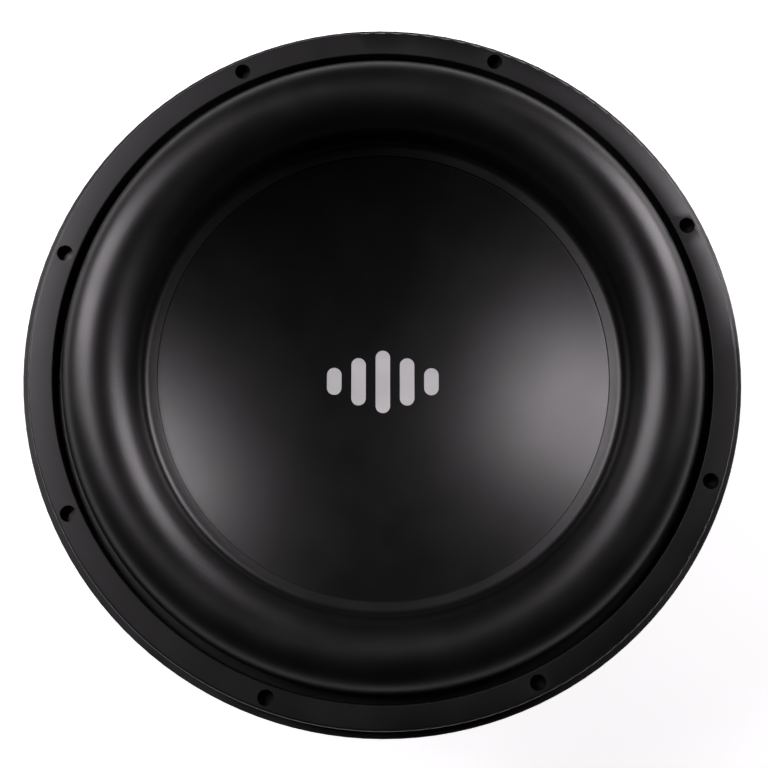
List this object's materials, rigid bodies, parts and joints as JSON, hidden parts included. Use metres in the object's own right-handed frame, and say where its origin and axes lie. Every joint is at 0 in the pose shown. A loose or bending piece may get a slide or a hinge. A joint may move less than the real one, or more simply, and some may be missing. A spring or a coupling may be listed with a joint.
{
  "type": "car subwoofer speaker",
  "caption": "Round car subwoofer driver with a tall half-roll surround, a concave dish, an open cast basket and a booted twin-magnet motor.",
  "frame": {"origin": "centre of the bolt circle on the back face of the mounting flange", "axes": "+Z along the driver's axis towards the listener, which is up when the driver stands on its magnet; terminal a is at +Y and terminal b at -Y, and the bolt holes are 22.5 degrees off the row axes"},
  "size_m": [0.3959, 0.396, 0.2341],
  "materials": {
    "cast_basket": "black textured powder coat",
    "gasket_rubber": "satin moulded rubber",
    "surround_foam": "satin skin, fine grain",
    "dish_coating": "satin black, fine grain",
    "cone_pulp": "matt pressed paper pulp, black",
    "former_black": "satin",
    "copper_wire": "enamelled copper",
    "collar_plastic": "moulded plastic",
    "tinned_brass": "tinned brass",
    "spider_cloth": "resin-dipped woven cotton",
    "spacer_plastic": "moulded plastic",
    "black_steel": "black electrophoretic coat",
    "ferrite": "ground ceramic ferrite",
    "bare_aluminium": "turned",
    "screen_steel": "punched and blackened",
    "boot_rubber": "moulded matt rubber",
    "black_steel_screws": "black zinc",
    "terminal_board": "pressed fibre board",
    "terminal_plastic": "moulded",
    "button_red": "moulded, red for plus",
    "button_black": "moulded, black for minus",
    "spring_steel": "bright wire",
    "tinsel_braid": "braided tinned copper over cotton"
  },
  "bodies": {
    "basket_and_motor": {"basket": "cast_basket", "basket_screws": "black_steel_screws", "gasket_ring": "gasket_rubber", "surround": "surround_foam", "upper_spider": "spider_cloth", "lower_spider": "spider_cloth", "spider_spacer": "spacer_plastic", "top_plate": "black_steel", "front_magnet": "ferrite", "rear_magnet": "ferrite", "pole_and_back_plate": "black_steel", "shorting_ring": "bare_aluminium", "rear_vent_screen": "screen_steel", "magnet_boot": "boot_rubber", "terminal_screws": "black_steel_screws", "terminal_board_a": "terminal_board", "terminal_strips_a": "tinned_brass", "terminal_housing_a": "terminal_plastic", "button_spring_plus_a": "spring_steel", "tinsel_lead_plus_a": "tinsel_braid", "button_spring_minus_a": "spring_steel", "tinsel_lead_minus_a": "tinsel_braid", "terminal_board_b": "terminal_board", "terminal_strips_b": "tinned_brass", "terminal_housing_b": "terminal_plastic", "button_spring_plus_b": "spring_steel", "tinsel_lead_plus_b": "tinsel_braid", "button_spring_minus_b": "spring_steel", "tinsel_lead_minus_b": "tinsel_braid"},
    "cone_and_coil": {"dish": "dish_coating", "cone_body": "cone_pulp", "coil_former": "former_black", "voice_coil_inner": "copper_wire", "voice_coil_outer": "copper_wire", "coil_collar": "collar_plastic", "lead_eyelets": "tinned_brass"},
    "button_plus_a": {"button_plus_a": "button_red"},
    "button_minus_a": {"button_minus_a": "button_black"},
    "button_plus_b": {"button_plus_b": "button_red"},
    "button_minus_b": {"button_minus_b": "button_black"}
  },
  "joints": [
    {"name": "cone_excursion", "type": "slide", "parent": "basket_and_motor", "child": "cone_and_coil", "axis": [0, 0, 1], "range_m": [-0.02, 0.02], "stiffness_N_per_m": 8000, "springref_m": 0.0007, "deforming": ["surround", "upper_spider", "lower_spider", "tinsel_lead_plus_a", "tinsel_lead_minus_a", "tinsel_lead_plus_b", "tinsel_lead_minus_b"]},
    {"name": "press_plus_a", "type": "slide", "parent": "basket_and_motor", "child": "button_plus_a", "axis": [0, -1, 0], "range_m": [0, 0.004], "stiffness_N_per_m": 800, "springref_m": -0.002, "deforming": ["button_spring_plus_a"]},
    {"name": "press_minus_a", "type": "slide", "parent": "basket_and_motor", "child": "button_minus_a", "axis": [0, -1, 0], "range_m": [0, 0.004], "stiffness_N_per_m": 800, "springref_m": -0.002, "deforming": ["button_spring_minus_a"]},
    {"name": "press_plus_b", "type": "slide", "parent": "basket_and_motor", "child": "button_plus_b", "axis": [0, 1, 0], "range_m": [0, 0.004], "stiffness_N_per_m": 800, "springref_m": -0.002, "deforming": ["button_spring_plus_b"]},
    {"name": "press_minus_b", "type": "slide", "parent": "basket_and_motor", "child": "button_minus_b", "axis": [0, 1, 0], "range_m": [0, 0.004], "stiffness_N_per_m": 800, "springref_m": -0.002, "deforming": ["button_spring_minus_b"]}
  ]
}
